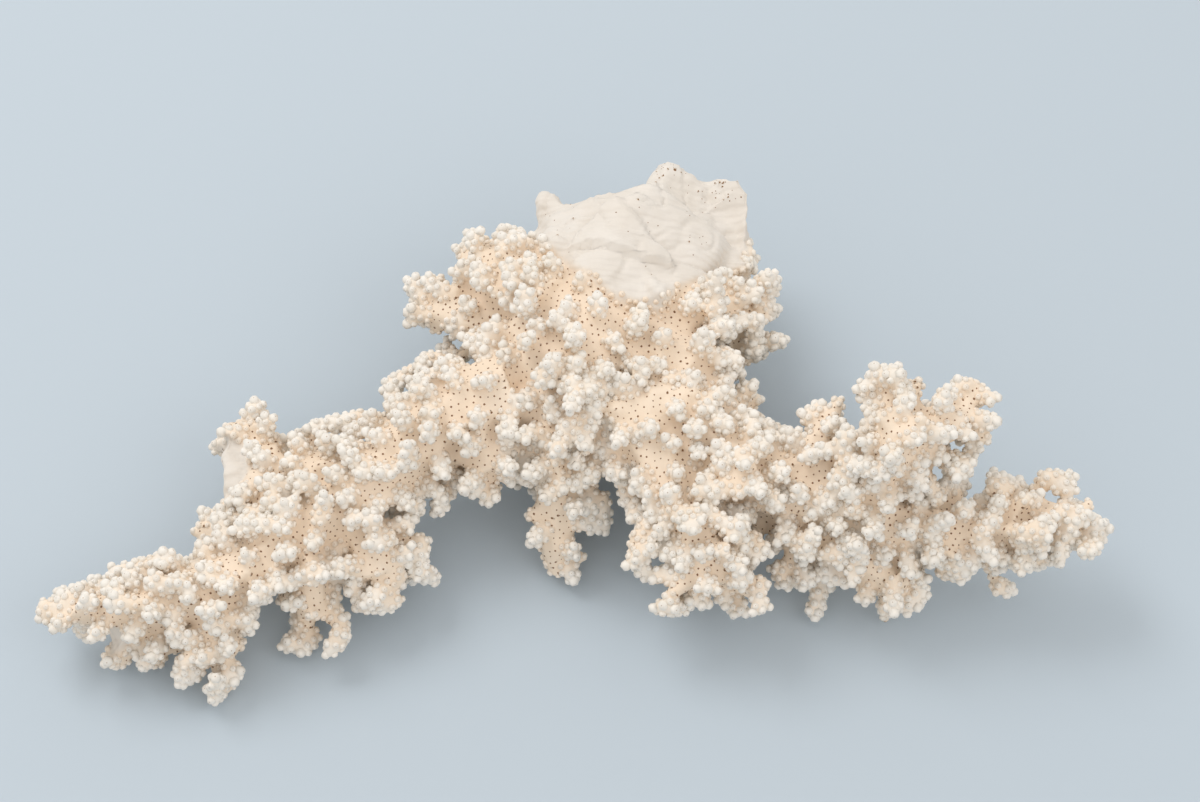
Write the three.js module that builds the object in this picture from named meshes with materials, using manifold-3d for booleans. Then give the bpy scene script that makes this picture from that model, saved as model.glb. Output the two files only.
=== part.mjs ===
// A bleached branching coral: a smooth holdfast, a broad trunk and limbs set with blunt fingers.
// It lies on its holdfast and its lowest fingers. Millimetres, +Z up, X along the two long arms.
import * as THREE from "three";
import { mergeVertices } from "three/addons/utils/BufferGeometryUtils.js";
import Module from "manifold-3d";

const wasm = await Module();
wasm.setup();

// Driving dimensions, mm
const forkGap = 0.3; // between two limbs where they part
const limbSides = 7;
const ringsPerSpan = 1;
const fingerSides = 5;
const fingerRadius = 4.3; // just under the blunt tip
const fingerTaper = 1.25; // how much thicker a finger is at its root
const fingerLean = 0.45; // a finger roots this share of its reach back down the limb
const shoulder = 0.82; // share of the reach where the tip rounds off
const breakPlane = 112; // y of the flat face where the holdfast broke off its rock
const sideBreak = 101; // y of the same face left of the tallest lump, where more broke away
const coralColour = 0xf2e6d6;

// Each limb: its route as [x, y, z, radius], how flat its section is, and where its fingers end.
// A finger may carry its own radius as a fourth number. below is the row of fingers underneath.
const limbs = {
  trunk: {
    route: [
      [16, 72, 50, 38],
      [8, 52, 52, 39],
      [3, 32, 53, 37],
      [1, 18, 54, 29],
      [1, 10, 55, 19],
    ],
    flat: 0.68,
    fingers: [
      [-40, 44, 60], [-23, 22, 80], [12, 30, 85], [36, 44, 78], [21, -4, 67], [38, 20, 72],
    ],
    below: { count: 4, reach: 15 },
  },
  holdfast: {
    route: [
      [10, 62, 41, 32],
      [19, 78, 37, 44],
      [27, 92, 32, 45],
      [35, 106, 28, 35],
      [38, 120, 25, 27],
    ],
    flat: 0.97,
    fingers: [
      [-14, 104, 54, 9], [38, 116, 68, 10], [52, 110, 62, 9], [72, 108, 64, 8], [72, 94, 54, 8],
      [34, 52, 84, 12],
    ],
  },
  trunk_fringe: {
    route: [
      [-14, 16, 58, 8],
      [0, 12, 60, 9],
      [16, 10, 58, 8],
    ],
    fingers: [
      [-15, -11, 40], [-8, -1, 67], [-4, -21, 43], [8, -18, 52, 4.8], [12, -17, 38],
    ],
  },
  centre_branch: {
    route: [
      [-2, 8, 46, 12],
      [-4, -10, 35, 12],
      [-6, -22, 23, 10],
      [-6, -32, 13, 9],
      [-6, -40, 3, 5],
    ],
    fingers: [
      [15, -20, 26], [9, -36, 9], [-21, -26, 24], [-26, 2, 24],
    ],
  },
  upper_left_branch: {
    route: [
      [-6, 48, 62, 17],
      [-24, 62, 61, 16],
      [-36, 70, 60, 12],
      [-43, 75, 58, 8],
    ],
    fingers: [
      [-34, 89, 56], [-13, 90, 52], [-30, 66, 81], [-36, 47, 76], [-14, 42, 83], [-5, 76, 76],
    ],
    below: { count: 2, reach: 14 },
  },
  upper_left_plate: {
    route: [
      [-26, 46, 50, 12],
      [-44, 52, 50, 10],
      [-55, 57, 48, 8],
    ],
    fingers: [
      [-67, 66, 45], [-53, 75, 50], [-47, 62, 62], [-56, 48, 40],
    ],
    below: { count: 2, reach: 12 },
  },
  right_fan: {
    route: [
      [28, 52, 56, 18],
      [46, 50, 56, 16],
      [60, 50, 55, 12],
      [69, 50, 54, 7],
    ],
    fingers: [
      [69, 88, 50], [79, 67, 60, 5], [81, 45, 58], [78, 36, 40], [56, 40, 75], [72, 66, 42],
    ],
    below: { count: 2, reach: 14 },
  },
  right_lower_fan: {
    route: [
      [28, 30, 58, 14],
      [44, 26, 60, 11],
      [56, 25, 58, 8],
    ],
    fingers: [
      [69, 26, 50], [56, 21, 74], [64, 30, 60], [46, 14, 68],
    ],
  },
  right_shoulder_branch: {
    route: [
      [28, 6, 56, 15],
      [44, 6, 55, 14],
      [58, 7, 51, 11],
      [66, 7, 48, 7],
    ],
    fingers: [
      [71, 22, 44], [76, 12, 36], [81, -2, 46, 5], [50, 6, 71],
    ],
    below: { count: 2, reach: 14 },
  },
  left_arm: {
    route: [
      [-22, 18, 50, 19],
      [-42, 10, 47, 17],
      [-62, -5, 44, 16],
      [-80, -20, 40, 15],
      [-98, -35, 37, 14],
      [-115, -47, 34, 12],
      [-128, -55, 32, 11],
    ],
    fingers: [
      [-50, 36, 48], [-67, 31, 43], [-84, 10, 43], [-46, 10, 68], [-72, -8, 58], [-45, -20, 27],
      [-68, -34, 46, 5], [-96, -45, 57, 6], [-96, -68, 42, 5], [-122, -62, 45],
    ],
    below: { count: 4, reach: 15 },
  },
  left_inner_branch: {
    route: [
      [-36, 10, 46, 12],
      [-34, -4, 43, 10],
      [-31, -16, 39, 8],
    ],
    fingers: [
      [-17, 2, 42], [-44, -14, 42], [-34, -8, 56], [-28, -18, 24],
    ],
  },
  left_upper_branch: {
    route: [
      [-80, -18, 41, 13],
      [-100, -16, 39, 12],
      [-120, -16, 37, 11],
      [-136, -16, 36, 10],
    ],
    fingers: [
      [-103, 9, 37, 5.5], [-98, -16, 54], [-124, -22, 50, 5], [-126, -4, 46],
    ],
    below: { count: 2, reach: 13 },
  },
  left_crown: {
    route: [
      [-114, -12, 39, 8],
      [-122, 1, 38, 8],
      [-130, 8, 37, 6],
    ],
    fingers: [
      [-138, 10, 35, 5], [-118, 15, 38, 5], [-125, 6, 50], [-122, 8, 27],
    ],
  },
  left_finger_branch: {
    route: [
      [-96, -32, 40, 12],
      [-112, -29, 39, 10],
      [-126, -28, 37, 8],
    ],
    fingers: [
      [-151, -37, 30, 5], [-126, -38, 46], [-138, -44, 32, 5], [-122, -18, 50],
    ],
  },
  left_middle_branch: {
    route: [
      [-84, -28, 38, 12],
      [-77, -42, 34, 11],
      [-72, -54, 28, 9],
    ],
    fingers: [
      [-51, -37, 27], [-65, -64, 19, 5], [-66, -44, 44], [-86, -58, 34],
    ],
  },
  left_lower_branch: {
    route: [
      [-101, -40, 34, 11],
      [-101, -54, 26, 10],
      [-99, -66, 18, 8],
    ],
    fingers: [
      [-101, -75, -1], [-83, -74, 18], [-114, -56, 9, 6], [-98, -72, 28],
    ],
  },
  left_drop_branch: {
    route: [
      [-134, -56, 31, 11],
      [-135, -70, 21, 11],
      [-135, -80, 11, 9],
    ],
    fingers: [
      [-150, -90, 22, 5], [-134, -93, -2, 5], [-127, -77, 32, 5], [-122, -76, 14],
    ],
  },
  left_arm_end: {
    route: [
      [-126, -54, 32, 12],
      [-144, -62, 30, 12],
      [-162, -66, 28, 11],
      [-178, -67, 27, 9],
      [-192, -67, 26, 6],
    ],
    fingers: [
      [-161, -48, 33, 5], [-206, -65, 29, 5], [-164, -72, 44, 5], [-188, -72, 36], [-174, -60, 42],
      [-136, -66, 47], [-176, -82, 3, 7], [-161, -83, 3, 6],
    ],
    below: { count: 2, reach: 12 },
  },
  right_front_branch: {
    route: [
      [20, 10, 52, 18],
      [31, -6, 49, 16],
      [40, -22, 45, 14],
      [48, -38, 42, 13],
      [54, -52, 37, 12],
      [57, -60, 32, 9],
    ],
    fingers: [
      [17, -22, 38], [19, -51, 38], [33, -68, 35, 5], [76, -62, 22], [79, -62, 36, 5],
      [74, -46, 46], [60, -60, 57, 5], [36, -43, 57, 5], [55, -44, 60, 5], [34, -4, 66],
      [38, -60, 20], [66, -58, 8, 5],
    ],
    below: { count: 2, reach: 14 },
  },
  right_rosette: {
    route: [
      [58, -12, 48, 12],
      [62, -22, 56, 11],
      [64, -28, 61, 8],
    ],
    fingers: [
      [64, -20, 70, 5], [72, -26, 66], [75, -34, 58], [58, -36, 60],
    ],
  },
  right_arm: {
    route: [
      [36, 4, 49, 18],
      [52, -6, 47, 17],
      [68, -17, 46, 16],
      [86, -25, 44, 15],
      [104, -32, 43, 14],
      [122, -37, 42, 13],
      [138, -39, 41, 11],
    ],
    fingers: [
      [88, -20, 62], [90, -44, 52], [126, -47, 34], [149, -51, 20], [149, -57, 45],
      [152, -24, 50, 5], [132, -44, 54], [80, 0, 48],
    ],
    below: { count: 4, reach: 15 },
  },
  right_arm_end: {
    route: [
      [136, -39, 41, 12],
      [154, -39, 40, 11],
      [170, -37, 40, 12],
      [185, -36, 40, 10],
      [196, -38, 39, 6],
    ],
    fingers: [
      [165, -29, 55, 5], [182, -16, 47], [201, -25, 43], [196, -51, 37], [178, -54, 33],
      [166, -51, 16], [158, -50, 57, 5], [171, -51, 59, 5], [174, -34, 61, 5], [188, -38, 56, 5],
    ],
    below: { count: 2, reach: 8 },
  },
  right_middle_branch: {
    route: [
      [84, -28, 36, 11],
      [88, -38, 28, 9],
      [92, -45, 20, 7],
    ],
    fingers: [
      [79, -50, 25], [100, -56, 43, 5], [84, -49, 43, 5], [98, -49, -2, 5],
    ],
  },
  right_lower_branch: {
    route: [
      [96, -32, 40, 12],
      [108, -43, 34, 11],
      [120, -52, 28, 10],
      [129, -57, 25, 7],
    ],
    fingers: [
      [122, -60, -2], [106, -56, 26, 5], [124, -62, 38, 5], [134, -48, 20],
    ],
    below: { count: 2, reach: 6 },
  },
  right_rising_branch: {
    route: [
      [110, -29, 46, 14],
      [116, -27, 60, 13],
      [121, -23, 74, 12],
      [124, -19, 86, 9],
    ],
    fingers: [
      [117, 8, 86, 5], [132, 5, 86, 5], [112, -16, 90, 5], [123, -39, 81, 5], [120, -44, 56, 5],
      [134, -20, 92, 5], [98, -30, 74],
    ],
  },
  right_crown: {
    route: [
      [124, -21, 74, 10],
      [140, -14, 76, 10],
      [151, -9, 74, 7],
    ],
    fingers: [
      [156, 7, 76, 6], [160, -20, 70, 5], [148, -16, 86, 5], [142, -40, 53, 5], [143, -22, 60],
    ],
  },
  right_back_branch: {
    route: [
      [98, -28, 50, 12],
      [96, -14, 57, 10],
      [97, -4, 61, 8],
    ],
    fingers: [
      [104, 6, 69, 5], [88, -12, 66, 5], [86, -6, 52], [100, 2, 50],
    ],
  },
};

// A closed mesh as a manifold-3d solid.
function solidOf(geometry) {
  const bare = geometry.clone();
  bare.deleteAttribute("normal");
  bare.deleteAttribute("uv");
  const merged = mergeVertices(bare, 1e-4);
  return new wasm.Manifold(
    new wasm.Mesh({
      numProp: 3,
      vertProperties: merged.attributes.position.array,
      triVerts: new Uint32Array(merged.index.array),
    }),
  );
}

function geometryOf(solid) {
  const mesh = solid.getMesh();
  const geometry = new THREE.BufferGeometry();
  geometry.setAttribute("position", new THREE.BufferAttribute(mesh.vertProperties, 3));
  geometry.setIndex(new THREE.BufferAttribute(mesh.triVerts, 1));
  geometry.computeVertexNormals();
  return geometry;
}

function pathOf(route) {
  return new THREE.CatmullRomCurve3(route.map(([x, y, z]) => new THREE.Vector3(x, y, z)));
}

function radiusAt(route, t) {
  const along = t * (route.length - 1);
  const span = Math.min(Math.floor(along), route.length - 2);
  return THREE.MathUtils.lerp(route[span][3], route[span + 1][3], along - span);
}

// The woody core of a limb: a cylinder laid along the route, its width and height at each ring
// following the route's radii.
function coreOf({ route, flat = 1 }, grow) {
  const path = pathOf(route);
  const core = new THREE.CylinderGeometry(1, 1, 1, limbSides, (route.length - 1) * ringsPerSpan);
  const places = core.attributes.position;
  const corner = new THREE.Vector3();
  for (let i = 0; i < places.count; i++) {
    corner.fromBufferAttribute(places, i);
    const t = THREE.MathUtils.clamp(corner.y + 0.5, 0, 1);
    const ahead = path.getTangent(t);
    const steep = Math.abs(ahead.z) > 0.95;
    const level = new THREE.Vector3(0, steep ? 1 : 0, steep ? 0 : 1);
    const side = new THREE.Vector3().crossVectors(ahead, level).normalize();
    const up = new THREE.Vector3().crossVectors(side, ahead);
    const radius = radiusAt(route, t) + grow;
    const place = path
      .getPoint(t)
      .addScaledVector(side, corner.x * radius)
      .addScaledVector(up, corner.z * radius * flat)
      .addScaledVector(ahead, Math.sign(Math.round(2 * corner.y)) * (t === 0 || t === 1 ? grow : 0));
    places.setXYZ(i, place.x, place.y, place.z);
  }
  return solidOf(core);
}

// The point of a route from which a finger with this tip springs: the nearest one, then a little
// back towards the root, because fingers lean the way the limb grows.
function rootOf(route, tip) {
  const path = pathOf(route);
  const steps = 40;
  let nearest = 0;
  for (let i = 1; i <= steps; i++) {
    const better = path.getPoint(i / steps).distanceTo(tip) < path.getPoint(nearest).distanceTo(tip);
    if (better) nearest = i / steps;
  }
  const reach = path.getPoint(nearest).distanceTo(tip);
  const back = (reach * fingerLean) / path.getLength();
  return path.getPoint(Math.max(0.04, nearest - back));
}

// One blunt finger from its root on the limb's centre line to its tip.
function fingerOf(route, [x, y, z, radius = fingerRadius], grow) {
  const tip = new THREE.Vector3(x, y, z);
  const root = rootOf(route, tip);
  const ahead = tip.clone().sub(root);
  const reach = ahead.length() + grow;
  const wide = radius + grow;
  const finger = new THREE.LatheGeometry(
    [
      new THREE.Vector2(0, 0),
      new THREE.Vector2(wide * fingerTaper, 0),
      new THREE.Vector2(wide, reach * shoulder),
      new THREE.Vector2(0, reach),
    ],
    fingerSides,
  );
  const stand = new THREE.Vector3(0, 1, 0);
  finger.applyQuaternion(new THREE.Quaternion().setFromUnitVectors(stand, ahead.normalize()));
  finger.translate(root.x, root.y, root.z);
  return solidOf(finger);
}

// The fingers under a limb: spread along it, turned alternately to each side of straight down,
// every third one shorter.
function fingersBelow({ route, flat = 1, below }) {
  if (!below) return [];
  const path = pathOf(route);
  return Array.from({ length: below.count }, (_, i) => {
    const t = (i + 0.8) / (below.count + 0.6);
    const turn = THREE.MathUtils.degToRad(i % 2 ? 38 : -34);
    const ahead = path.getTangent(t);
    const side = new THREE.Vector3(ahead.y, -ahead.x, 0).normalize();
    const reach = radiusAt(route, t) * flat + below.reach * (i % 3 === 2 ? 0.7 : 1);
    const tip = path
      .getPoint(t)
      .addScaledVector(side, Math.sin(turn) * reach * 1.2)
      .addScaledVector(ahead, reach * 0.3);
    return [tip.x, tip.y, Math.max(2, tip.z - Math.cos(turn) * reach), fingerRadius];
  });
}

function limbSolid(limb, grow = 0) {
  const fingers = [...(limb.fingers ?? []), ...fingersBelow(limb)];
  return fingers.reduce(
    (solid, tip) => solid.add(fingerOf(limb.route, tip, grow)),
    coreOf(limb, grow),
  );
}

function boxSolid(low, high) {
  const box = new THREE.BoxGeometry(high[0] - low[0], high[1] - low[1], high[2] - low[2]);
  box.translate((high[0] + low[0]) / 2, (high[1] + low[1]) / 2, (high[2] + low[2]) / 2);
  return solidOf(box);
}

// A stretched ball, for the hollow in the holdfast's broken edge.
function ballSolid(centre, radii) {
  const ball = new THREE.SphereGeometry(1, 9, 6);
  ball.scale(...radii);
  ball.translate(...centre);
  return solidOf(ball);
}

function largestBody(solid) {
  return solid.decompose().reduce((most, one) => (one.volume() > most.volume() ? one : most));
}

// Everything lies above the surface that the coral rests on, and in front of the broken face.
const room = boxSolid([-300, -300, 0], [300, breakPlane, 200]).subtract(
  boxSolid([-5, sideBreak, -10], [28, 300, 210]),
);
const hollow = ballSolid([60, 117, 66], [9, 13, 9]);

const coral = new THREE.Group();
const finish = new THREE.MeshStandardMaterial({ color: coralColour, roughness: 0.9, metalness: 0 });

let grown = null; // the limbs made so far, each larger by the gap
for (const [name, limb] of Object.entries(limbs)) {
  let solid = limbSolid(limb).intersect(room);
  if (name === "holdfast") solid = solid.subtract(hollow);
  if (grown) solid = solid.subtract(grown);
  solid = largestBody(solid);
  const larger = limbSolid(limb, forkGap);
  grown = grown ? grown.add(larger) : larger;
  const mesh = new THREE.Mesh(geometryOf(solid), finish.clone());
  mesh.name = name;
  coral.add(mesh);
}

// The origin is under the middle of the coral, on the surface.
const extent = new THREE.Box3().setFromObject(coral);
const middle = extent.getCenter(new THREE.Vector3());
coral.position.set(-middle.x, -middle.y, -extent.min.z);

export default coral;
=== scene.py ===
import math
import time

import bpy
import numpy as np
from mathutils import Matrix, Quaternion, Vector, noise
from mathutils.bvhtree import BVHTree
from mathutils.kdtree import KDTree


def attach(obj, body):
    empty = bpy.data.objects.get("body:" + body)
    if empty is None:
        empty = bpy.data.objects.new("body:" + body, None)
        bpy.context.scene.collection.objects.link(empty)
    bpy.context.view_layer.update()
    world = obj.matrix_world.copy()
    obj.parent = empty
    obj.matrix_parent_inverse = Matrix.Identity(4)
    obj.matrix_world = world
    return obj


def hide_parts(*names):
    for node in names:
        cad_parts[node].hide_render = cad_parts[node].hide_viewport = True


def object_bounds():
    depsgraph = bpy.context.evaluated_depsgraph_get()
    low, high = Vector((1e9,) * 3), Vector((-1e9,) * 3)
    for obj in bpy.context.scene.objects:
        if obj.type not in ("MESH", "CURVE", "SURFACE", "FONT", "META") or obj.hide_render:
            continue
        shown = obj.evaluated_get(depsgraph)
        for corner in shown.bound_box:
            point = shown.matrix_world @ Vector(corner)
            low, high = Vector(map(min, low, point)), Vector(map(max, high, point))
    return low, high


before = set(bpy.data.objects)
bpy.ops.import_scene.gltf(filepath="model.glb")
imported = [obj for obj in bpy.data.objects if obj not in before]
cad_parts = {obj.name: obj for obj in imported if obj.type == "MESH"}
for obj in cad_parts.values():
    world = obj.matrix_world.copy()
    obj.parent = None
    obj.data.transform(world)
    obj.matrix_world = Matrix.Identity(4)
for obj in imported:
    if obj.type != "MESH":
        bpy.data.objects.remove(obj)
cadLow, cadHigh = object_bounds()
startTime = time.time()
mm = 0.001


def report(stage):
    print(f"[{time.time() - startTime:5.1f} s] {stage}")


# the mesh tools work in millimetres, on a shape's points and triangles
voxels = {"limbs": 1.6, "knobGround": 2.0, "skin": 1.3}


def stack(shapes):
    # several shapes as one
    points, faces, first = [], [], 0
    for shapePoints, shapeFaces in shapes:
        points.append(shapePoints)
        faces.append(shapeFaces + first)
        first += len(shapePoints)
    return np.concatenate(points), np.concatenate(faces)


def shapeOf(mesh):
    mesh.calc_loop_triangles()
    points = np.empty(len(mesh.vertices) * 3, np.float32)
    mesh.vertices.foreach_get("co", points)
    faces = np.empty(len(mesh.loop_triangles) * 3, np.int32)
    mesh.loop_triangles.foreach_get("vertices", faces)
    return points.reshape(-1, 3).astype(float) / mm, faces.reshape(-1, 3)


def meshFrom(name, points, faces):
    mesh = bpy.data.meshes.new(name)
    mesh.vertices.add(len(points))
    mesh.vertices.foreach_set("co", (points * mm).astype(np.float32).ravel())
    mesh.loops.add(len(faces) * 3)
    mesh.loops.foreach_set("vertex_index", faces.astype(np.int32).ravel())
    mesh.polygons.add(len(faces))
    mesh.polygons.foreach_set("loop_start", np.arange(0, len(faces) * 3, 3, dtype=np.int32))
    mesh.update(calc_edges=True)
    return mesh


def voxelSkin(points, faces, voxel):
    # one closed skin round everything given
    mesh = meshFrom("growing", points, faces)
    body = bpy.data.objects.new("growing", mesh)
    bpy.context.scene.collection.objects.link(body)
    remesh = body.modifiers.new("remesh", "REMESH")
    remesh.mode = "VOXEL"
    remesh.voxel_size = voxel * mm
    made = body.evaluated_get(bpy.context.evaluated_depsgraph_get()).to_mesh()
    points, faces = shapeOf(made)
    bpy.data.objects.remove(body)
    bpy.data.meshes.remove(mesh)
    return largestShell(points, faces)


def edgesOf(faces):
    pairs = np.concatenate([faces[:, [0, 1]], faces[:, [1, 2]], faces[:, [2, 0]]])
    return np.unique(np.sort(pairs, axis=1), axis=0)


def largestShell(points, faces):
    # drops the small loose shells: labels spread along the edges until each shell has one
    edges = edgesOf(faces)
    label = np.arange(len(points))
    while True:
        low = np.minimum(label[edges[:, 0]], label[edges[:, 1]])
        spread = label.copy()
        np.minimum.at(spread, edges[:, 0], low)
        np.minimum.at(spread, edges[:, 1], low)
        spread = spread[spread]
        if (spread == label).all():
            break
        label = spread
    kept = label == np.bincount(label).argmax()
    place = np.cumsum(kept) - 1
    return points[kept], place[faces[kept[faces[:, 0]]]]


def pointNormals(points, faces):
    corner = points[faces]
    flat = np.cross(corner[:, 1] - corner[:, 0], corner[:, 2] - corner[:, 0])
    normals = np.zeros_like(points)
    for axis in range(3):
        for k in range(3):
            normals[:, axis] += np.bincount(faces[:, k], flat[:, axis], len(points))
    return unit(normals)


def unit(vectors):
    return vectors / np.maximum(np.linalg.norm(vectors, axis=1, keepdims=True), 1e-9)


def smoothed(points, edges, rounds, share=0.5):
    count = np.bincount(edges.ravel(), minlength=len(points))[:, None]
    for _ in range(rounds):
        total = np.empty_like(points)
        for axis in range(points.shape[1]):
            total[:, axis] = (
                np.bincount(edges[:, 0], points[edges[:, 1], axis], len(points))
                + np.bincount(edges[:, 1], points[edges[:, 0], axis], len(points)))
        points = points + share * (total / count - points)
    return points


def waves(points, size, seed, depth=1):
    # smooth noise from -1 to 1, one value a point
    shift = Vector((seed * 17.3, seed * 5.1, seed * 9.7))
    if depth == 1:
        return np.array([noise.noise(Vector(p) / size + shift) for p in points])
    return np.array([noise.fractal(Vector(p) / size + shift, 0.9, 2.0, depth) for p in points])


def ramp(values, low, high):
    # 0 below low, 1 above high, smooth between them
    t = np.clip((values - low) / (high - low), 0, 1)
    return t * t * (3 - 2 * t)


def scatter(points, faces, chance, spacing, tries, seed, taken=()):
    # random spots on a skin, no two nearer than their spacing, and the triangle each is on
    rng = np.random.default_rng(seed)
    corner = points[faces]
    area = np.linalg.norm(np.cross(corner[:, 1] - corner[:, 0], corner[:, 2] - corner[:, 0]), axis=1)
    weight = area * chance
    face = rng.choice(len(faces), tries, p=weight / weight.sum())
    a, b = rng.random(tries), rng.random(tries)
    flip = a + b > 1
    a[flip], b[flip] = 1 - a[flip], 1 - b[flip]
    spots = (corner[face, 0] + a[:, None] * (corner[face, 1] - corner[face, 0])
             + b[:, None] * (corner[face, 2] - corner[face, 0]))
    cell = spacing.max()
    keys = np.floor(spots / cell).astype(int)
    grid, kept = {}, []
    for place in taken:
        grid.setdefault(tuple(int(math.floor(c / cell)) for c in place), []).append(tuple(place))
    near = [(i, j, k) for i in (-1, 0, 1) for j in (-1, 0, 1) for k in (-1, 0, 1)]
    gaps = spacing[face]
    spotList, keyList, gapList = spots.tolist(), keys.tolist(), gaps.tolist()
    for n in range(tries):
        x, y, z = spotList[n]
        kx, ky, kz = keyList[n]
        gap = gapList[n] ** 2
        if not any((ox - x) ** 2 + (oy - y) ** 2 + (oz - z) ** 2 < gap
                   for i, j, k in near
                   for ox, oy, oz in grid.get((kx + i, ky + j, kz + k), ())):
            grid.setdefault((kx, ky, kz), []).append((x, y, z))
            kept.append(n)
    kept = np.array(kept)
    return face[kept], spots[kept]


finger = {
    "radius": 3.0,  # mm, under the blunt tip and without its cups
    "rootSwell": 1.3,
    "sides": 8,
    "leanBack": 9,  # mm that a root sits back towards the trunk
    "rootDepth": 5,  # mm under the skin
    "cupRoom": 1.7,  # mm that the cups on the tip take
    "shortest": 5,
    "lobes": (0.6, 0.3),  # chance of a first and of a second side lobe
    "lobeReach": (5.0, 7.0),  # mm
    "lobeBack": (1, 4),  # mm that it starts behind the round tip
    "lobeWay": (0.6, 0.8),  # ahead and sideways
    "lobeTurn": 150,  # degrees from the first to the second
    "lobeRadius": 0.9,  # of the finger's
    "bareRoot": 4.0,  # mm at the root with no cups, most of it under the skin
    "bareLobeRoot": 2.0,
    "markStep": 1.5,  # mm
    "paleFrom": 0.4,  # how white it starts, and how fast it whitens towards the tip
    "paleGain": 0.15,
    "seed": 3,
}

# where each limb's shorter fingers end, mm from the frame's origin
shortFingers = {
    "trunk": [
        (-36, 24, 62), (-6, 20, 84), (30, 20, 81), (-8, 0, 80), (16, -2, 78), (32, 0, 74),
        (2, 10, 84), (-20, 30, 80), (1, -8, 73), (9, -10, 73)],
    "trunk_fringe": [
        (-15, -8, 60), (-10, -18, 48), (-4, -18, 56), (4, -22, 58), (-2, -22, 49), (7, -32, 45),
        (12, -18, 61), (18, -18, 54)],
    "centre_branch": [
        (15, -40, 18), (-13, -26, 34), (-16, -16, 24), (-1, -34, 40), (7, -38, 30), (-20, -18, 16)],
    "upper_left_branch": [
        (-47, 72, 56), (-39, 74, 60), (-25, 78, 63), (-18, 80, 57), (-38, 50, 76), (-25, 42, 81),
        (-16, 52, 82), (-7, 52, 82), (-44, 56, 68), (-22, 66, 77),
        (-28, 83, 54), (-22, 82, 53)],
    "upper_left_plate": [(-58, 60, 48), (-61, 46, 44), (-48, 36, 50)],
    "right_fan": [
        (74, 66, 57), (85, 48, 62), (84, 44, 52), (82, 32, 48), (76, 22, 53), (64, 36, 72),
        (70, 50, 66), (58, 44, 72), (66, 24, 62), (72, 40, 36),
        (74, 78, 49), (75, 69, 47), (73, 86, 47)],
    "right_lower_fan": [(70, 10, 56), (62, 8, 66)],
    "right_shoulder_branch": [
        (64, 12, 52), (78, 8, 42), (77, -6, 46), (52, 6, 62), (45, 4, 66), (57, -12, 66),
        (66, 0, 60)],
    "left_arm": [
        (-58, 26, 47), (-74, 10, 43), (-52, 14, 60), (-62, 4, 56), (-56, -12, 64), (-32, 10, 68),
        (-64, -32, 58), (-43, -28, 35), (-50, -40, 36), (-58, -42, 36), (-86, -46, 56),
        (-88, -72, 44), (-110, -56, 52), (-102, -72, 44), (-115, -78, 33), (-80, -36, 58),
        (-81, -6, 50), (-103, -9, 48), (-72, 6, 50)],
    "left_inner_branch": [
        (-18, -16, 36), (-21, -26, 33), (-24, -18, 47), (-30, -36, 33), (-37, -34, 35)],
    "left_upper_branch": [(-95, -2, 40), (-88, -6, 40), (-110, -26, 52), (-108, -6, 38)],
    "left_crown": [(-129, 6, 38), (-109, -6, 40)],
    "left_finger_branch": [
        (-143, -36, 34), (-141, -40, 27), (-116, -44, 53), (-104, -38, 54), (-130, -34, 46)],
    "left_middle_branch": [
        (-51, -56, 26), (-57, -66, 27), (-72, -74, 18), (-79, -76, 26), (-76, -60, 48),
        (-60, -58, 12), (-84, -66, 18), (-62, -66, 24)],
    "left_lower_branch": [(-112, -84, 8), (-103, -88, 9), (-93, -90, 12), (-84, -76, 22)],
    "left_drop_branch": [
        (-140, -98, 22), (-132, -94, 16), (-137, -88, 34), (-148, -102, 10), (-136, -107, 8)],
    "left_arm_end": [
        (-145, -56, 33), (-152, -58, 32), (-166, -60, 32), (-172, -62, 31), (-187, -68, 33),
        (-194, -70, 30), (-202, -80, 24), (-150, -76, 47), (-174, -82, 42), (-140, -68, 46),
        (-166, -90, 14), (-152, -86, 32),
        (-177, -95, 14), (-163, -96, 12), (-192, -76, 22)],
    "right_front_branch": [
        (16, -28, 44), (21, -30, 43), (28, -30, 46), (49, -28, 52), (24, -38, 33), (28, -50, 36),
        (30, -68, 32), (46, -78, 23), (52, -78, 28), (61, -76, 24), (70, -76, 19), (79, -62, 41),
        (49, -62, 59), (30, -44, 50), (68, -64, 50), (42, -70, 44), (28, -22, 62), (34, -63, 42),
        (72, -67, 44)],
    "right_rosette": [(59, -36, 66), (68, -48, 62), (68, -40, 70)],
    "right_arm": [
        (78, -24, 63), (82, -44, 54), (98, -50, 54), (102, -54, 46), (112, -56, 45),
        (121, -58, 38), (133, -60, 36), (144, -64, 36), (157, -64, 34), (142, -60, 50),
        (146, -36, 54), (138, -32, 40)],
    "right_arm_end": [
        (166, -30, 52), (171, -30, 46), (177, -26, 46), (191, -28, 46), (197, -28, 44),
        (207, -40, 42), (209, -50, 41), (205, -56, 39), (186, -60, 32), (174, -62, 32),
        (169, -60, 27), (184, -58, 57), (164, -50, 56), (194, -56, 48), (197, -35, 44), (169, -32, 50),
        (163, -27, 50), (153, -31, 50), (174, -62, 13)],
    "right_middle_branch": [
        (86, -64, 17), (93, -62, 15), (104, -62, 14), (94, -64, 41), (109, -62, 39)],
    "right_lower_branch": [
        (140, -66, 31), (140, -70, 23), (131, -70, 13), (116, -68, 16), (121, -70, 9),
        (114, -66, 43)],
    "right_rising_branch": [
        (126, -14, 96), (104, -26, 82), (136, -42, 76), (113, -44, 80), (117, -48, 67),
        (127, -50, 64), (108, -44, 66), (114, -52, 55), (106, -50, 54), (132, -40, 88),
        (110, -18, 76), (115, -6, 92), (107, -12, 80), (128, -10, 90)],
    "right_crown": [
        (144, -10, 83), (148, -4, 77), (161, -11, 73), (154, -4, 79), (156, -34, 64),
        (144, -38, 72), (138, -48, 60), (154, -20, 60)],
    "right_back_branch": [(88, -8, 60), (95, -4, 62), (100, -4, 66), (108, -18, 60)],
}

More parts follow.
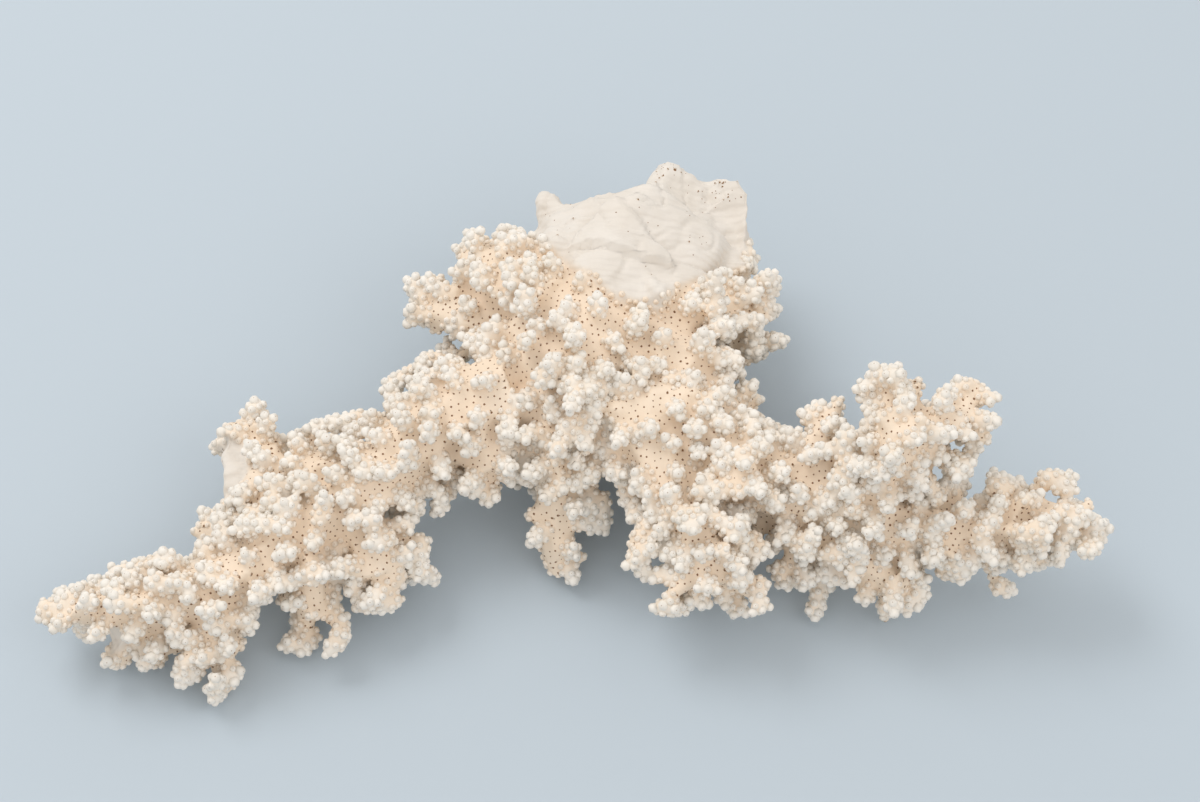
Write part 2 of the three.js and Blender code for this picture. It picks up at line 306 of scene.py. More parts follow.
trunkHeart = Vector((8, 30, 50))  # every limb grows away from here


def bluntFinger(root, tip, radius, rootSwell=finger["rootSwell"]):
    # a closed round finger; root and tip are vectors
    ahead = (tip - root).normalized()
    side = ahead.orthogonal().normalized()
    other = ahead.cross(side)
    length = (tip - root).length
    dome = min(radius * 1.1, length * 0.5)
    rings = [(0, radius * rootSwell), (length - dome, radius),
             (length - dome * 0.45, radius * 0.86), (length - dome * 0.1, radius * 0.45)]
    points = [root]
    for along, wide in rings:
        for k in range(finger["sides"]):
            turn = 2 * math.pi * k / finger["sides"]
            points.append(root + ahead * along + (side * math.cos(turn) + other * math.sin(turn)) * wide)
    points.append(tip)
    n, faces = finger["sides"], []
    for k in range(n):
        m = (k + 1) % n
        faces.append((0, 1 + m, 1 + k))
        for ring in range(len(rings) - 1):
            a, b = 1 + ring * n + k, 1 + ring * n + m
            faces += [(a, b, b + n), (a, b + n, a + n)]
        last = 1 + (len(rings) - 1) * n
        faces.append((last + k, last + m, len(points) - 1))
    return np.array([list(p) for p in points]), np.array(faces)


def treeOf(points, faces):
    return BVHTree.FromPolygons([tuple(p) for p in points], [tuple(int(i) for i in f) for f in faces])


fingerMarks = []  # places along the fingers' middles, with the radius there and how far out it is
fingerTips = []  # (tip, way it points)


def markFinger(root, tip, radius, bare):
    ahead, length = (tip - root).normalized(), (tip - root).length
    for along in np.arange(bare, length, finger["markStep"]):
        pale = min(1, finger["paleFrom"] + finger["paleGain"] * (along - bare))
        fingerMarks.append((root + ahead * float(along), radius, pale))
    fingerTips.append((list(tip), list(ahead)))


def withLobes(root, tip, radius, rng):
    # a finger and the side lobes near its tip, where it is about to fork
    made = [bluntFinger(root, tip, radius)]
    markFinger(root, tip, radius, finger["bareRoot"])
    ahead = (tip - root).normalized()
    side = ahead.orthogonal().normalized()
    side.rotate(Quaternion(ahead, rng.random() * 2 * math.pi))
    least, most = finger["lobeReach"]
    nearest, furthest = finger["lobeBack"]
    forward, sideways = finger["lobeWay"]
    for chance in finger["lobes"]:
        draw, reach, back = rng.random(), least + rng.random() * (most - least), rng.random()
        if draw < chance:
            start = tip - ahead * (radius + nearest + (furthest - nearest) * back)
            end = start + (ahead * forward + side * sideways) * reach
            made.append(bluntFinger(start, end, radius * finger["lobeRadius"]))
            markFinger(start, end, radius * finger["lobeRadius"], finger["bareLobeRoot"])
        side.rotate(Quaternion(ahead, math.radians(finger["lobeTurn"])))
    return made


def growShortFingers():
    rng = np.random.default_rng(finger["seed"])
    made = []
    for limb, tips in shortFingers.items():
        tree = treeOf(*limbShapes[limb])
        for tip in map(Vector, tips):
            away = (tip - trunkHeart).normalized()
            near, normal, _, _ = tree.find_nearest(tip - away * finger["leanBack"])
            root = near - normal * finger["rootDepth"]
            tip = tip - (tip - root).normalized() * finger["cupRoom"]
            if (tip - root).length > finger["shortest"]:
                made += withLobes(root, tip, finger["radius"], rng)
    return made


limbShapes = {name: shapeOf(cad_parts[name].data) for name in sorted(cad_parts)}
limbNames = list(limbShapes)
allLimbs = stack(limbShapes.values())
limbOfFace = np.concatenate([np.full(len(s[1]), i) for i, s in enumerate(limbShapes.values())])


bareSkin = {
    # (x, y) along the edge between the smooth holdfast and the cup-covered trunk
    "edgeOnTop": [(-22, 92), (-12, 66), (2, 48), (18, 34), (36, 32), (44, 42), (56, 52), (75, 60)],
    "edgeUnder": [(-22, 92), (-14, 66), (62, 61), (71, 84)],
    "between": (45, 62),  # heights between the lower and the upper edge
    "blend": 3,  # mm to each side of the edge
    "spots": [((-133, -22, 40), 13), ((-172, -84, 20), 7)],  # broken or worn places, and their radius
    "spotBlend": 1.5,
}


def bareSkinEdge(points):
    # y of the edge at each point's x and height
    onTop = np.interp(points[:, 0], *zip(*bareSkin["edgeOnTop"]))
    under = np.interp(points[:, 0], *zip(*bareSkin["edgeUnder"]))
    high = ramp(points[:, 2], *bareSkin["between"])
    return under + (onTop - under) * high


def smoothShare(points):
    # 1 on the holdfast and on the worn places, 0 where cups grow
    share = ramp(points[:, 1] - bareSkinEdge(points), -bareSkin["blend"], bareSkin["blend"])
    for place, radius in bareSkin["spots"]:
        inside = radius - np.linalg.norm(points - place, axis=1)
        share = np.maximum(share, ramp(inside, -bareSkin["spotBlend"], bareSkin["spotBlend"]))
    return share


def slimLimbs():
    # the limbs as they are under their cups
    points, faces = voxelSkin(*allLimbs, voxels["limbs"])
    covered = 1 - smoothShare(points)
    return points - pointNormals(points, faces) * (finger["cupRoom"] * covered)[:, None], faces


# broad lumps, most of them on the holdfast: root, tip, radius at the tip, and how much thicker
# it is at the root
broadLumps = [
    ((-112, -16, 38), (-137, -17, 40), 6, 1.2),
    ((-112, -24, 38), (-135, -28, 38), 6, 1.2),
    ((6, 74, 44), (-12, 98, 58), 8.5, 1.5),
    ((14, 76, 46), (8, 91, 60), 5.5, 2.0),
    ((24, 78, 46), (23, 91, 62), 6, 2.0),
    ((38, 82, 44), (41, 109, 66), 9, 1.7),
    ((44, 84, 48), (50, 105, 62), 6, 1.8),
    ((50, 84, 46), (58, 104, 60), 7, 1.6),
    ((54, 82, 46), (64, 101, 59), 7, 1.5),
    ((58, 78, 46), (70, 94, 56), 7, 1.5),
    ((58, 100, 60), (68, 102, 61), 5.5, 1.1),
    ((66, 102, 61), (71, 97, 60), 5.5, 1.1),
    ((71, 98, 60), (72, 89, 57), 5.5, 1.1),
    ((72, 92, 57), (69, 80, 53), 5, 1.1),
]

shapes = [slimLimbs()] + growShortFingers()
shapes += [bluntFinger(Vector(root), Vector(tip), radius, swell)
           for root, tip, radius, swell in broadLumps]
report(f"short fingers grown, {len(shapes) - 1} shapes")


knob = {
    "spacing": (8.8, 10.2),  # mm between knobs, on the limbs and on the trunk
    "rise": (7.0, 12.5),  # mm above the skin
    "trunkRise": (5.5, 8.5),
    "radius": (2.7, 3.3),
    "depth": 3,  # mm that its root is under the skin
    "lean": 0.5,  # towards the limb's end
    "leastLean": 0.4,
    "ground": 2.0,  # mm; what stands higher is a finger already
    "groundRounds": 24,
    "highest": 93,  # mm above the surface it lies on
    "tries": 12000,
    "leastChance": 0.3,
    "seed": 4,
}
trunkTop = {"halfWidth": 45, "front": -5, "lowest": 55}  # mm

# open spaces between the branches, and their radius
clearings = [
    ((21, -30, 28), 11), ((-16, -30, 22), 9), ((-18, -42, 14), 8), ((-24, -29, 27), 8),
    ((138, -58, 20), 10), ((-112, -68, 20), 9), ((96, -58, 20), 8),
]


def heights(points, faces, rounds):
    # how far each point stands above the ground that it grows from, in mm, and the way it stands
    ground = smoothed(points, edgesOf(faces), rounds)
    out = points - ground
    return (out * pointNormals(ground, faces)).sum(1), out


def onTrunk(points):
    x, y, z = points.T
    return (np.abs(x) < trunkTop["halfWidth"]) & (y > trunkTop["front"]) & (z > trunkTop["lowest"])


def growKnobs():
    points, faces = voxelSkin(*stack(shapes), voxels["knobGround"])
    stands, _ = heights(points, faces, knob["groundRounds"])
    normals = pointNormals(points, faces)
    bare = ramp(knob["ground"] - stands, 0, 1.2) * ramp(bareSkinEdge(points) - points[:, 1], 0, 5)
    bare = bare * (1 - smoothShare(points))
    chance = bare[faces].mean(1) + 1e-6
    spacing = np.where(onTrunk(points[faces[:, 0]]), knob["spacing"][1], knob["spacing"][0])
    face, spots = scatter(points, faces, chance, spacing, knob["tries"], knob["seed"])
    made = []
    for f, spot, trunk in zip(face, spots, onTrunk(spots)):
        rng = np.random.default_rng((knob["seed"], int(f)))
        draw = rng.random(3)
        if chance[f] < knob["leastChance"]:
            continue
        spot = Vector(spot)
        normal = Vector(normals[faces[f]].mean(0)).normalized()
        away = spot - trunkHeart
        away = (away - normal * away.dot(normal)).normalized()
        least, most = knob["trunkRise"] if trunk else knob["rise"]
        rise = least + draw[0] * (most - least)
        radius = knob["radius"][0] + draw[1] * (knob["radius"][1] - knob["radius"][0])
        tip = spot + (normal + away * knob["lean"] * (knob["leastLean"] + draw[2])).normalized() * rise
        blocked = any((tip - Vector(place)).length < room for place, room in clearings)
        blocked = blocked or smoothShare(np.array([tip]))[0] > 0.5
        if blocked or not radius + finger["cupRoom"] < tip.z < knob["highest"]:
            continue
        made += withLobes(spot - normal * knob["depth"], tip, radius, rng)
    return made


knobs = growKnobs()
shapes += knobs
report(f"knobs grown, {len(knobs)} shapes")


skin = {  # sizes and heights in mm
    "ground": {"waves": 11, "height": 0.35, "sink": 0.4},
    "lumps": {"waves": 19, "height": 1.8, "smallWaves": 7, "smallHeight": 0.7},
    "creases": {"waves": 13, "depth": 0.8, "width": 0.12},
    "brokenFace": {"waves": 3.5, "height": 1.4, "from": (82, 90)},  # where it broke off its rock
    "ridges": {"height": 0.35, "step": 1.6, "sway": 4},
    "holdfastSink": 2,
    "shelfRise": 2.2,
    "shelfFade": 4,  # each end of a shelf fades over twice this
    "topLobeRise": 3.0,
    "lipDepth": 1.6,
    "edgeWaves": 9,
    "edgeSway": 1.5,
    "upperSide": (40, 55),  # heights where the upper side's growths begin
    "thin": (2.5, 6),  # what stands this high is thin and keeps its shape
    "thinLoss": 0.8,  # share of the relief that it does without
    "rimFold": 0.88,  # rims sharper than this are smoothed; 1 is flat ground
    "groundRounds": 60,
}

# front edges of the holdfast's overlapping growths, (x, y) from left to right, on its upper side
shelves = [
    [(-10, 84), (4, 86), (16, 86), (27, 90), (38, 90), (50, 84), (60, 86)],
    [(0, 78), (12, 76), (24, 82), (36, 80), (48, 80), (58, 78), (68, 72)],
]
topLobe = [(20, 82), (42, 50), (0, 58)]  # the youngest growth, a tongue on the top
lipHollow = [(53, 112), (80, 112), (80, 84), (68, 81), (54, 87)]  # the dished face of the thin lip


def insideOf(corners, points):
    # how far inside a flat corner-to-corner outline, in mm
    depth = np.full(len(points), 1e9)
    for (ax, ay), (bx, by) in zip(corners, corners[1:] + corners[:1]):
        length = math.hypot(bx - ax, by - ay)
        side = ((by - ay) * (points[:, 0] - ax) - (bx - ax) * (points[:, 1] - ay)) / length
        depth = np.minimum(depth, side)
    return depth


def overlaps(points):
    # how far the holdfast's later growths stand over the earlier ones
    size, sway, fade = skin["edgeWaves"], skin["edgeSway"], skin["shelfFade"]
    x, rise = points[:, 0], 0
    for shelf in shelves:
        xs, ys = zip(*shelf)
        edge = np.interp(x, xs, ys) + sway * waves(points, size, 6)
        inside = ramp(x, xs[0] - fade, xs[0] + fade) * (1 - ramp(x, xs[-1] - fade, xs[-1] + fade))
        step = ramp(edge - points[:, 1], -0.8, 0.8)
        rise = rise + skin["shelfRise"] * step * inside * upperShare(points)
    tongue = ramp(insideOf(topLobe, points) + sway * waves(points, size, 7), -0.7, 0.7)
    dish = ramp(insideOf(lipHollow, points) + sway * waves(points, size, 8), -0.7, 1.2)
    return rise + (skin["topLobeRise"] * tongue - skin["lipDepth"] * dish) * upperShare(points)


def upperShare(points):
    return ramp(points[:, 2], *skin["upperSide"])


def holdfastRelief(points, backward):
    lumps, creases = skin["lumps"], skin["creases"]
    broad = waves(points, lumps["waves"], 2) * lumps["height"]
    broad = broad + waves(points, lumps["smallWaves"], 3) * lumps["smallHeight"]
    fromCrease = np.abs(waves(points, creases["waves"], 9))
    broad = broad - creases["depth"] * (1 - ramp(fromCrease, 0, creases["width"]))
    broken, ridges = skin["brokenFace"], skin["ridges"]
    rough = waves(points, broken["waves"], 10, 2) * broken["height"]
    rough = rough * ramp(backward, 0.35, 0.8) * ramp(points[:, 1], *broken["from"])
    along = (points[:, 1] * 0.9 + points[:, 2] * 0.5) / ridges["step"]
    bands = np.sin(along + ridges["sway"] * waves(points, 16, 4))
    lines = bands * ridges["height"] * ramp(waves(points, 12, 5), -0.3, 0.4)
    return broad + lines + overlaps(points) + rough - skin["holdfastSink"]


def makeSkin():
    points, faces = voxelSkin(*stack(shapes), voxels["skin"])
    edges = edgesOf(faces)
    points = smoothed(points, edges, 2)
    smooth = smoothShare(points)
    rounder = smoothed(points, edges, 8)
    points = points + (rounder - points) * smooth[:, None]
    stands, _ = heights(points, faces, skin["groundRounds"])
    ground = skin["ground"]
    lumps = waves(points, ground["waves"], 1) * ground["height"]
    lumps = lumps - ground["sink"] * ramp(-stands, -1.5, 1.5)
    relief = holdfastRelief(points, pointNormals(rounder, faces)[:, 1])
    thick = 1 - skin["thinLoss"] * ramp(stands, *skin["thin"])
    moved = lumps * (1 - smooth) + relief * smooth * thick
    points = points + pointNormals(points, faces) * moved[:, None]
    for _ in range(3):  # folds on the thin rims are smoothed out
        spread = np.linalg.norm(smoothed(pointNormals(points, faces), edges, 2), axis=1)
        folded = ramp(skin["rimFold"] - spread, 0, 0.1) * smooth
        points = points + (smoothed(points, edges, 6) - points) * folded[:, None]
    points[:, 2] -= points[:, 2].min()
    return points, faces, smooth


skinPoints, skinFaces, holdfastShare = makeSkin()
skinNormals = pointNormals(skinPoints, skinFaces)
skinHeight, outward = heights(skinPoints, skinFaces, skin["groundRounds"])


def raisedShare():
    # 0 on the ground between the fingers, 1 on a finger's outer part
    marks = KDTree(len(fingerMarks))
    for i, (place, _, _) in enumerate(fingerMarks):
        marks.insert(place, i)
    marks.balance()
    share = np.empty(len(skinPoints))
    for i, point in enumerate(skinPoints):
        _, mark, distance = marks.find(point)
        share[i] = fingerMarks[mark][2] * (distance < fingerMarks[mark][1] + voxels["skin"])
    share = smoothed(share[:, None], edgesOf(skinFaces), 2)[:, 0]
    return np.maximum(share, ramp(skinHeight, 0.3, 4.5))


raised = raisedShare()
report(f"skin made, {len(skinFaces)} triangles")


# the small tubes that each held a polyp
cup = {
    "sides": 6,
    "profile": [(1.0, -0.6), (1.0, 0.3), (0.62, 0.88)],  # shares of its radius and height
    "middle": 0.74,
    "sizes": (0.88, 1.12),
    "tipSizes": (0.85, 1.15),
    "radius": (1.2, 1.6),  # mm, at a finger's root and at its outer end
    "height": (0.9, 1.5),
    "spacing": (2.55, 2.8),
    "lean": 0.7,
    "from": 0.25,  # share of the way out where they begin
    "tipRadius": 1.9,  # mm, the one that leads each finger
    "tipHeight": 1.9,
    "tipSink": 0.27,
    "tipReach": 1.6,  # mm from the skin that a finger's tip may be
    "tipFacing": 0.6,  # cosine between the finger and the skin's way out
    "clear": 1.8,  # mm above the surface it lies on
    "tries": 200000,
    "seed": 11,
}

# the row of cups along the top lobe's edge
lobeEdge = {"width": 2.2, "lowest": 50, "left": 8, "right": 44}


def turnedRings(rings, sides, middle):
    # a closed turned shape: rings of (radius, height), then the middle of its dished top
    points = [(math.cos(2 * math.pi * k / sides) * r, math.sin(2 * math.pi * k / sides) * r, h)
              for r, h in rings for k in range(sides)]
    points.append((0, 0, middle))
    faces = []
    top = (len(rings) - 1) * sides
    for k in range(sides):
        m = (k + 1) % sides
        for ring in range(0, top, sides):
            a, b = ring + k, ring + m
            faces += [(a, b, b + sides), (a, b + sides, a + sides)]
        faces.append((top + k, top + m, len(points) - 1))
    for k in range(1, sides - 1):
        faces.append((0, k + 1, k))
    return np.array(points, float), np.array(faces)


def setOnSkin(shape, spots, ahead, wide, tall, seed):
    # the shape at every spot: points, normals and faces, one row a copy
    template, faces = shape
    lay = pointNormals(template, faces)
    lay[-1] = (0, 0, 1)
    rng = np.random.default_rng(seed)
    side = unit(np.cross(ahead, unit(rng.normal(size=ahead.shape))))
    other = np.cross(ahead, side)

    def turned(local, wide, tall):
        return (side[:, None] * (local[None, :, 0:1] * wide[:, None, None])
                + other[:, None] * (local[None, :, 1:2] * wide[:, None, None])
                + ahead[:, None] * (local[None, :, 2:3] * tall[:, None, None]))

    one = np.ones(len(ahead))
    return spots[:, None] + turned(template, wide, tall), turned(lay, one, one), faces


def leadingCups():
    # one cup at the tip of each finger that still stands clear of the skin
    tree = treeOf(skinPoints, skinFaces)
    spots, ahead, faces = [], [], []
    for tip, way in fingerTips:
        near, _, face, distance = tree.find_nearest(Vector(tip))
        normal = Vector(skinNormals[skinFaces[face, 0]])
        clear = near.z > cup["clear"] and holdfastShare[skinFaces[face, 0]] < 0.5
        facing = normal.dot(Vector(way)) > cup["tipFacing"]
        if clear and distance < cup["tipReach"] and facing:
            spots.append(np.array(near) - np.array(way) * cup["tipSink"])
            ahead.append(way)
            faces.append(face)
    return np.array(spots), np.array(ahead), np.array(faces)


def placeCups(taken):
    out = raised[skinFaces].mean(1)
    smooth = holdfastShare[skinFaces].mean(1)
    middle = skinPoints[skinFaces].mean(1)
    x, y, z = middle.T
    onLobeEdge = (np.abs(y - bareSkinEdge(middle)) < lobeEdge["width"]) & (z > lobeEdge["lowest"])
    onLobeEdge = onLobeEdge & (x > lobeEdge["left"]) & (x < lobeEdge["right"])
    wanted = (((out > cup["from"]) & (smooth < 0.5)) | onLobeEdge) & (z > cup["clear"])
    low, high = cup["spacing"]
    spacing = low + (high - low) * out
    face, spots = scatter(skinPoints, skinFaces, wanted + 1e-9, spacing, cup["tries"], cup["seed"], taken)
    kept = wanted[face]
    return face[kept], spots[kept], out[face[kept]]


tipSpots, tipAhead, tipFaces = leadingCups()
cupFace, cupSpot, cupRaised = placeCups(tipSpots)
report(f"cups placed, {len(cupFace)} of them")


def growCups():
    rng = np.random.default_rng(cup["seed"] + 1)
    corner = skinFaces[cupFace]
    normal = unit(skinNormals[corner].mean(1))
    lean = cup["lean"] * (1 - cupRaised)[:, None]
    ahead = unit(normal + lean * unit(outward[corner].mean(1)))
    least, most = cup["sizes"]
    size = least + (most - least) * rng.random(len(ahead))
    wide = (cup["radius"][0] + (cup["radius"][1] - cup["radius"][0]) * cupRaised) * size
    tall = (cup["height"][0] + (cup["height"][1] - cup["height"][0]) * cupRaised) * size
    least, most = cup["tipSizes"]
    size = least + (most - least) * rng.random(len(tipAhead))
    wide = np.concatenate([wide, cup["tipRadius"] * size])
    tall = np.concatenate([tall, cup["tipHeight"] * size])
    spots, ahead = np.concatenate([cupSpot, tipSpots]), np.concatenate([ahead, tipAhead])
    shape = turnedRings(cup["profile"], cup["sides"], cup["middle"])
    return setOnSkin(shape, spots, ahead, wide, tall, cup["seed"] + 2)


cupPoints, cupNormals, cupFaces = growCups()
cupFace = np.concatenate([cupFace, tipFaces])
cupRaised = np.concatenate([cupRaised, np.ones(len(tipFaces))])


# the small holes in the ground between the fingers, each a low cone whose dark middle is painted shade
# standing for the hole
pore = {
    "sides": 5,
    "profile": [(1.0, -0.6)],
    "middle": 0.5,
    "radius": 0.9,  # mm
    "sizes": (0.7, 1.3),
    "height": 0.3,
    "spacing": 2.25,
    "below": 0.22,  # share of the way out where they end
    "smooth": 0.35,  # share of the holdfast's look where they end
    "holdfastRadius": (0.35, 0.75),
    "deepRadius": 1.5,
    "leastUp": 0.45,  # none of the holdfast's are on its thin rims
    "tries": 90000,
    "seed": 21,
}

# groups of pores worn into the holdfast: middle, spread and how many; their dark middles are partly the
# real brown of these pits and partly painted shade in them, and the single one at (32, 67, 72) is a real
# orange-brown speck
wornPores = [
    ((56, 94, 64), 4, 26), ((64, 92, 62), 3, 8), ((37, 100, 66), 4, 14), ((43, 104, 66), 3, 8),
    ((18, 90, 60), 12, 14), ((8, 70, 66), 10, 12), ((50, 64, 70), 12, 14), ((-6, 90, 60), 6, 6),
    ((32, 67, 72), 0.1, 1), ((44, 60, 72), 10, 10),
]
# the deepest pit, whose dark middle is painted shade
deepPore = (43, 102, 66)


def holdfastPores():
    rng = np.random.default_rng(pore["seed"] + 5)
    tree = treeOf(skinPoints, skinFaces)
    least, most = pore["holdfastRadius"]
    spots, faces, sizes = [], [], []
    for middle, spread, count in wornPores:
        for offset in rng.normal(size=(count, 3)) * spread:
            near, _, face, _ = tree.find_nearest(Vector(middle) + Vector(offset))
            size = least + rng.random() * (most - least)
            if skinNormals[skinFaces[face]][:, 2].min() > pore["leastUp"]:
                spots.append(list(near))
                faces.append(face)
                sizes.append(size)
    near, _, face, _ = tree.find_nearest(Vector(deepPore))
    spots, faces, sizes = spots + [list(near)], faces + [face], sizes + [pore["deepRadius"]]
    return np.array(spots), np.array(faces), np.array(sizes)


def growPores():
    out = raised[skinFaces].mean(1)
    smooth = holdfastShare[skinFaces].mean(1)
    wanted = (out < pore["below"]) & (smooth < pore["smooth"])
    spacing = np.full(len(skinFaces), pore["spacing"])
    face, spots = scatter(skinPoints, skinFaces, wanted + 1e-9, spacing, pore["tries"], pore["seed"])
    face, spots = face[wanted[face]], spots[wanted[face]]
    rng = np.random.default_rng(pore["seed"] + 1)
    least, most = pore["sizes"]
    radii = pore["radius"] * (least + (most - least) * rng.random(len(face)))
    wornSpots, wornFaces, wornRadii = holdfastPores()
    face, spots = np.concatenate([face, wornFaces]), np.concatenate([spots, wornSpots])
    radii = np.concatenate([radii, wornRadii])
    ahead = unit(skinNormals[skinFaces[face]].mean(1))
    shape = turnedRings(pore["profile"], pore["sides"], pore["middle"])
    points, normals, faces = setOnSkin(
        shape, spots, ahead, radii, np.full(len(radii), pore["height"]), pore["seed"] + 2)
    return face, points, normals, faces


poreFace, porePoints, poreNormals, poreFaces = growPores()
report(f"pores made, {len(poreFace)} of them")


coralLook = {
    "tip": (0.91, 0.865, 0.80),
    "hollow": (0.91, 0.765, 0.615),  # between the fingers
    # painted shade: the dark middle of a cup stands for the shade inside its opening
    "mouthShade": (0.42, 0.30, 0.21),  # the middle of a cup
    # painted shade for the pores' holes, partly the real brown of the holdfast's pits and its one
    # orange-brown speck
    "pore": (0.22, 0.11, 0.05),
    "holdfast": (0.80, 0.745, 0.68),
    "stain": (0.93, 0.91, 0.88),
    "stainShare": 0.7,
    "roughness": 0.85,
    "specular": 0.25,
    "mottleScale": 60,
    "grainScale": 1500,
    "lineScale": 95,  # growth lines on the holdfast
    "lineWander": 14,
    "lineDepth": 0.00035,  # m
    "grainDepth": 0.0001,
    "bumpStrength": 0.6,
}


def shaderNode(tree, kind, **values):
    made = tree.nodes.new(kind)
    for name, value in values.items():
        setattr(made, name, value)
    return made


def mixColour(tree, factor, first, second, blend="MIX"):
    mix = shaderNode(tree, "ShaderNodeMix", data_type="RGBA", blend_type=blend)
    for socket, value in ((mix.inputs[0], factor), (mix.inputs[6], first), (mix.inputs[7], second)):
        if hasattr(value, "links"):
            tree.links.new(value, socket)
        elif isinstance(value, tuple):
            socket.default_value = (*value, 1)
        else:
            socket.default_value = value
    return mix.outputs[2]


def levels(tree, value, low, high, start=0.0, end=1.0):
    made = shaderNode(tree, "ShaderNodeMapRange", interpolation_type="SMOOTHSTEP")
    tree.links.new(value, made.inputs[0])
    for place, number in zip((1, 2, 3, 4), (low, high, start, end)):
        made.inputs[place].default_value = number
    return made.outputs[0]


def calculated(tree, kind, first, second):
    made = shaderNode(tree, "ShaderNodeMath", operation=kind)
    for socket, value in zip(made.inputs, (first, second)):
        if hasattr(value, "links"):
            tree.links.new(value, socket)
        else:
            socket.default_value = value
    return made.outputs[0]


def coralMaterial():
    material = bpy.data.materials.new("bleachedCoral")
    material.use_nodes = True
    tree = material.node_tree
    surface = tree.nodes["Principled BSDF"]
    place = shaderNode(tree, "ShaderNodeTexCoord").outputs["Object"]
    look = coralLook

    def attribute(name):
        return shaderNode(tree, "ShaderNodeAttribute", attribute_name=name).outputs["Fac"]

    def pattern(kind, scale, **inputs):
        made = shaderNode(tree, kind)
        tree.links.new(place, made.inputs["Vector"])
        made.inputs["Scale"].default_value = scale
        for name, value in inputs.items():
            made.inputs[name].default_value = value
        return made

    raised, mouthShade, bare = attribute("raised"), attribute("mouthShade"), attribute("bare")
    mottle = pattern("ShaderNodeTexNoise", look["mottleScale"], Detail=4, Roughness=0.6).outputs["Fac"]
    grain = pattern("ShaderNodeTexNoise", look["grainScale"], Detail=3, Roughness=0.7).outputs["Fac"]

    # white on the fingers' outer parts, painted shade in the cups' mouths and the pores, off-white on the
    # holdfast
    pale = calculated(tree, "ADD", raised, calculated(tree, "MULTIPLY", mottle, 0.3))
    colour = mixColour(tree, levels(tree, pale, 0.25, 1.1), look["hollow"], look["tip"])
    colour = mixColour(tree, bare, colour, look["holdfast"])
    # painted shade: the middle of each cup is darkened to stand for the shade inside its opening
    colour = mixColour(tree, levels(tree, mouthShade, 0.6, 0.95, 0.0, 0.7), colour, look["mouthShade"])
    # the pores' middles: painted shade in their holes, with the holdfast's real brown pits and one real
    # orange-brown speck
    colour = mixColour(tree, levels(tree, mouthShade, 0.95, 1.35), colour, look["pore"])
    stain = mixColour(tree, levels(tree, mottle, 0.3, 0.7), look["stain"], (1.0, 1.0, 1.0))
    colour = mixColour(tree, look["stainShare"], colour, stain, "MULTIPLY")
    tree.links.new(colour, surface.inputs["Base Color"])
    surface.inputs["Roughness"].default_value = look["roughness"]
    surface.inputs["Specular IOR Level"].default_value = look["specular"]

    # growth lines on the holdfast, then a fine grain over everything
    lines = pattern("ShaderNodeTexWave", look["lineScale"], Distortion=look["lineWander"], Detail=4)
    lines.inputs["Detail Scale"].default_value = 0.35
    lines.bands_direction = "Y"
    lines = calculated(tree, "MULTIPLY", lines.outputs["Fac"], bare)
    normal = None
    for height, depth in ((lines, look["lineDepth"]), (grain, look["grainDepth"])):
        bump = shaderNode(tree, "ShaderNodeBump")
        bump.inputs["Strength"].default_value = look["bumpStrength"]
        bump.inputs["Distance"].default_value = depth
        tree.links.new(height, bump.inputs["Height"])
        if normal:
            tree.links.new(normal, bump.inputs["Normal"])
        normal = bump.outputs["Normal"]
    tree.links.new(normal, surface.inputs["Normal"])
    return material


coral = coralMaterial()
report("material made")


patch = {
    "lip": 1.6,  # mm that a rim turns inwards
    "rimPale": 0.7,  # how white the skin is beside its cups
    "cupPale": 0.3,  # how white a cup is at a finger's root
}


def limbOfSpots(spots):
    tree = treeOf(*allLimbs)
    return np.array([limbOfFace[tree.find_nearest(Vector(s))[2]] for s in spots])


def lippedPatch(points, normals, faces):
    # each rim that faces the next limb turns inwards as a short lip, so that no gap shows there
    half = np.concatenate([faces[:, [0, 1]], faces[:, [1, 2]], faces[:, [2, 0]]])
    code, back = half[:, 0] * len(points) + half[:, 1], half[:, 1] * len(points) + half[:, 0]
    rim = half[~np.isin(code, back)]
    own, place = np.unique(rim, return_inverse=True)
    place = place.reshape(-1, 2) + len(points)
    lip = points[own] - normals[own] * patch["lip"]
    faces = np.concatenate([
        faces, np.column_stack([rim[:, 1], rim[:, 0], place[:, 0]]),
        np.column_stack([rim[:, 1], place[:, 0], place[:, 1]])])
    return lip, normals[own], faces


